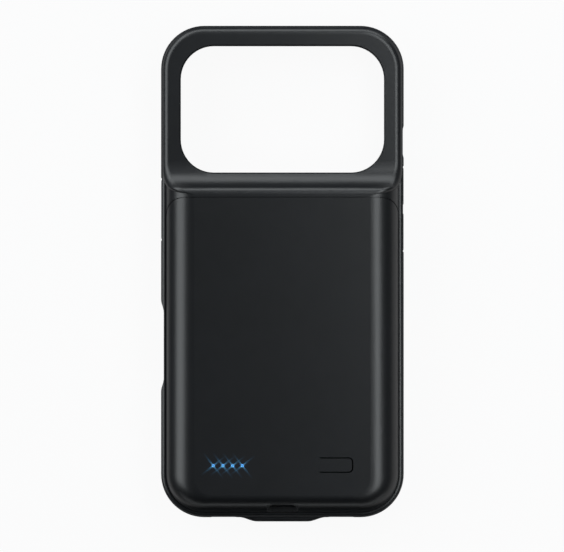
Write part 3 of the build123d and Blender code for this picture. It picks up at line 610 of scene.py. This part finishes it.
class CASE_OT_battery(bpy.types.Operator):
    """Finish the pouch cell, its tape and its leads"""

    bl_idname = "charging_case.battery"
    bl_label = "Battery"

    def execute(self, context):
        finish(laminate_foil("pouch_laminate"), "battery_cell")
        finish(speckled("foam_tape", "#0d0d0d", "#1c1c1c", size=0.3 * MM, roughness=0.9), "cell_tape")
        finish(speckled("red_pvc", "#a3161a", "#b3201f", size=0.6 * MM, roughness=0.35), "lead_plus")
        finish(speckled("black_pvc", "#121213", "#1d1d1f", size=0.6 * MM, roughness=0.35), "lead_minus")
        return {"FINISHED"}


def softbox(name, towards, zenith, distance, length, width, power):
    """Rectangular light that looks at the middle of the case from a compass direction and an angle
    off the zenith, in degrees."""
    lamp = bpy.data.lights.new(name, "AREA")
    lamp.shape = "RECTANGLE"
    lamp.size = length
    lamp.size_y = width
    lamp.energy = power
    lamp.color = linear("#f8fdff")
    made = bpy.data.objects.new(name, lamp)
    tilt = math.radians(zenith)
    aim = Vector((0, 0, CASE_TOP_Z))
    away = Vector((towards[0] * math.sin(tilt), towards[1] * math.sin(tilt), math.cos(tilt)))
    made.location = aim + away * distance
    made.rotation_euler = (-away).to_track_quat("-Z", "Y").to_euler()
    made.visible_camera = False
    bpy.context.scene.collection.objects.link(made)


def flat_card(name, x_low, x_high, y_low, y_high, z, material):
    """Level rectangle, for the floor and for the bounce cards over it."""
    xs, ys = np.meshgrid([x_low, x_high], [y_low, y_high])
    points = np.stack([xs, ys, np.full_like(xs, z)], axis=-1)
    made = make_object(name, points, np.array([[0, 1, 3, 2]]), material, None)
    return made


def light_table(name, settings, light):
    """Opal acrylic lit from below: pale, matt and almost free of shadow."""
    material, tree, output, place = new_material(name)
    cloud_size = 400 * MM
    swing = 0.005
    cloud = add_node(tree, "ShaderNodeTexNoise", {"Scale": per(cloud_size)}, {"Vector": place})
    glow = add_node(tree, "ShaderNodeMapRange",
                    {"To Min": light * (1 - swing), "To Max": light * (1 + swing)},
                    {"Value": cloud.outputs["Fac"]})
    shader = add_node(tree, "ShaderNodeBsdfPrincipled",
                      {"Base Color": opaque(settings.floor_colour), "Roughness": 0.9,
                       "Specular IOR Level": 0.0, "Emission Color": (1.0, 1.0, 1.0, 1.0)},
                      {"Emission Strength": glow.outputs["Result"]})
    tree.links.new(shader.outputs["BSDF"], output.inputs["Surface"])
    return material


def dark_studio(name, settings):
    """Room round the stage: dark grey walls that fall off to black beyond the plug end."""
    world = bpy.data.worlds.new(name)
    world.use_nodes = True
    tree = world.node_tree
    tree.nodes.clear()
    black_from = -0.8
    way = add_node(tree, "ShaderNodeTexCoord").outputs["Generated"]
    axes = add_node(tree, "ShaderNodeSeparateXYZ", links={"Vector": way})
    back = add_node(tree, "ShaderNodeMapRange", {"From Min": black_from, "From Max": 0.0},
                    {"Value": axes.outputs["Y"]})
    colour = ramp_between(tree, back.outputs["Result"], (0.0, 0.0, 0.0), settings.room_colour)
    walls = add_node(tree, "ShaderNodeBackground", links={"Color": colour})
    add_node(tree, "ShaderNodeOutputWorld", links={"Surface": walls.outputs["Background"]})
    return world


def lens_glints(scene, settings):
    """Four-ray glints and a faint bloom, as a lens draws them round lights brighter than the floor.
    What is too bright for the picture and bluer than red then takes the dots' own colour."""
    brighter_than_floor = 1.3
    bloom_share = 0.2
    steepness = 4.0
    scene.use_nodes = True
    tree = scene.node_tree
    tree.nodes.clear()
    picture = add_node(tree, "CompositorNodeRLayers")
    rays = add_node(tree, "CompositorNodeGlare",
                    {"glare_type": "STREAKS", "quality": "HIGH", "Threshold": brighter_than_floor,
                     "Smoothness": 0.0, "Streaks": 4, "Streaks Angle": math.radians(38), "Iterations": 2,
                     "Fade": 0.75, "Color Modulation": 0.0, "Saturation": 0.5,
                     "Tint": (0.24, 0.86, 0.92, 1.0), "Strength": settings.glint},
                    {"Image": picture.outputs["Image"]})
    bloom = add_node(tree, "CompositorNodeGlare",
                     {"glare_type": "BLOOM", "quality": "HIGH", "Threshold": brighter_than_floor,
                      "Smoothness": 0.0, "Size": 0.25, "Saturation": 0.8,
                      "Strength": settings.glint * bloom_share},
                     {"Image": rays.outputs["Image"]})
    excess = add_node(tree, "CompositorNodeSeparateColor", links={"Image": rays.outputs["Highlights"]})
    bluer = add_node(tree, "CompositorNodeMath", {"operation": "SUBTRACT"},
                     {0: excess.outputs["Blue"], 1: excess.outputs["Red"]})
    clipped = add_node(tree, "CompositorNodeMath",
                       {"operation": "MULTIPLY", "use_clamp": True, 1: steepness},
                       {0: bluer.outputs["Value"]})
    dimmed = add_node(tree, "CompositorNodeMixRGB", {2: opaque(settings.dot_colour)},
                      {"Fac": clipped.outputs["Value"], 1: bloom.outputs["Image"]})
    add_node(tree, "CompositorNodeComposite", links={"Image": dimmed.outputs["Image"]})


class CASE_OT_stage(bpy.types.Operator):
    """Set the floor, the softboxes, the camera and the lens"""

    bl_idname = "charging_case.stage"
    bl_label = "Stage"

    def execute(self, context):
        scene = context.scene
        settings = scene.case_stage
        self.ground(settings)
        self.softboxes(settings)
        scene.world = dark_studio("dark_studio", settings)
        self.viewpoint(scene, settings)
        scene.view_settings.view_transform = "Standard"
        lens_glints(scene, scene.case_lights)
        return {"FINISHED"}

    def ground(self, settings):
        """Floor, which gloss doesn't mirror, and low cards on both sides, which only gloss shows."""
        floor_reach = 8.0
        floor_level = -0.05 * MM
        card_reach = 150 * MM
        card_level = 0.5 * MM
        cards = {"bounce_card": (46 * MM, 260 * MM), "left_bounce_card": (-59 * MM, -43 * MM)}
        floor = flat_card("floor", -floor_reach, floor_reach, -floor_reach, floor_reach, floor_level,
                          light_table("light_table", settings, settings.floor_glow))
        floor.visible_glossy = False
        white = light_table("white_card", settings, settings.card_glow)
        for name, (x_low, x_high) in cards.items():
            bounce = flat_card(name, x_low, x_high, -card_reach, card_reach, card_level, white)
            bounce.visible_camera = False
            bounce.visible_diffuse = False
            bounce.visible_shadow = False

    def softboxes(self, settings):
        """Four softboxes, one for the band of light along each side of the case."""
        softbox("left_softbox", towards=(-1, 0.35), zenith=56, distance=0.9, length=1.4, width=0.60,
                power=settings.left_power)
        softbox("right_softbox", towards=(1, 0.28), zenith=29, distance=0.3, length=0.5, width=0.12,
                power=settings.right_power)
        softbox("top_softbox", towards=(0, 1), zenith=72, distance=0.9, length=1.2, width=0.45,
                power=settings.top_power)
        softbox("front_softbox", towards=(0, -1), zenith=90, distance=0.9, length=2.4, width=0.18,
                power=settings.front_power)

    def viewpoint(self, scene, settings):
        """Long lens straight above the case, placed so that the origin falls on its pixel."""
        photo_width = 564
        photo_middle = (282.0, 276.0)
        origin_pixel = (282.4, 273.7)
        pixels_per_mm = 3.184
        scale_level = 10 * MM
        camera = bpy.data.cameras.new("camera")
        camera.sensor_width = 36.0
        field = photo_width / pixels_per_mm * MM
        camera.lens = camera.sensor_width * settings.camera_distance / field
        camera.clip_end = 100.0
        viewer = bpy.data.objects.new("camera", camera)
        viewer.location = ((photo_middle[0] - origin_pixel[0]) / pixels_per_mm * MM,
                           (origin_pixel[1] - photo_middle[1]) / pixels_per_mm * MM,
                           settings.camera_distance + scale_level)
        scene.collection.objects.link(viewer)
        scene.camera = viewer


class CASE_PT_panel(bpy.types.Panel):
    """Pieces and stage of the charging case"""

    bl_idname = "CASE_PT_panel"
    bl_label = "Charging Case"
    bl_space_type = "VIEW_3D"
    bl_region_type = "UI"
    bl_category = "Charging Case"

    def draw(self, context):
        for setting in GROUPS:
            group = getattr(context.scene, setting)
            box = self.layout.box()
            for name in group.__annotations__:
                box.prop(group, name)
        for operator in OPERATORS:
            self.layout.operator(operator.bl_idname)


GROUPS = {
    "case_plastic": CasePlasticSettings,
    "case_lights": CaseLightSettings,
    "case_contacts": CaseContactSettings,
    "case_stage": CaseStageSettings,
}
OPERATORS = (CASE_OT_mouldings, CASE_OT_charge_lights, CASE_OT_electronics, CASE_OT_metal_parts,
             CASE_OT_contacts, CASE_OT_battery, CASE_OT_stage)


def register():
    """Adds the classes to Blender and the settings to the scene."""
    for group in GROUPS.values():
        bpy.utils.register_class(group)
    for name, group in GROUPS.items():
        setattr(bpy.types.Scene, name, PointerProperty(type=group))
    for operator in OPERATORS:
        bpy.utils.register_class(operator)
    bpy.utils.register_class(CASE_PT_panel)


def unregister():
    """Takes them out again."""
    bpy.utils.unregister_class(CASE_PT_panel)
    for operator in reversed(OPERATORS):
        bpy.utils.unregister_class(operator)
    for name, group in GROUPS.items():
        delattr(bpy.types.Scene, name)
        bpy.utils.unregister_class(group)


def main():
    """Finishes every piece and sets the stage."""
    register()
    for operator in OPERATORS:
        group, name = operator.bl_idname.split(".")
        getattr(getattr(bpy.ops, group), name)()


if __name__ == "__main__":
    main()
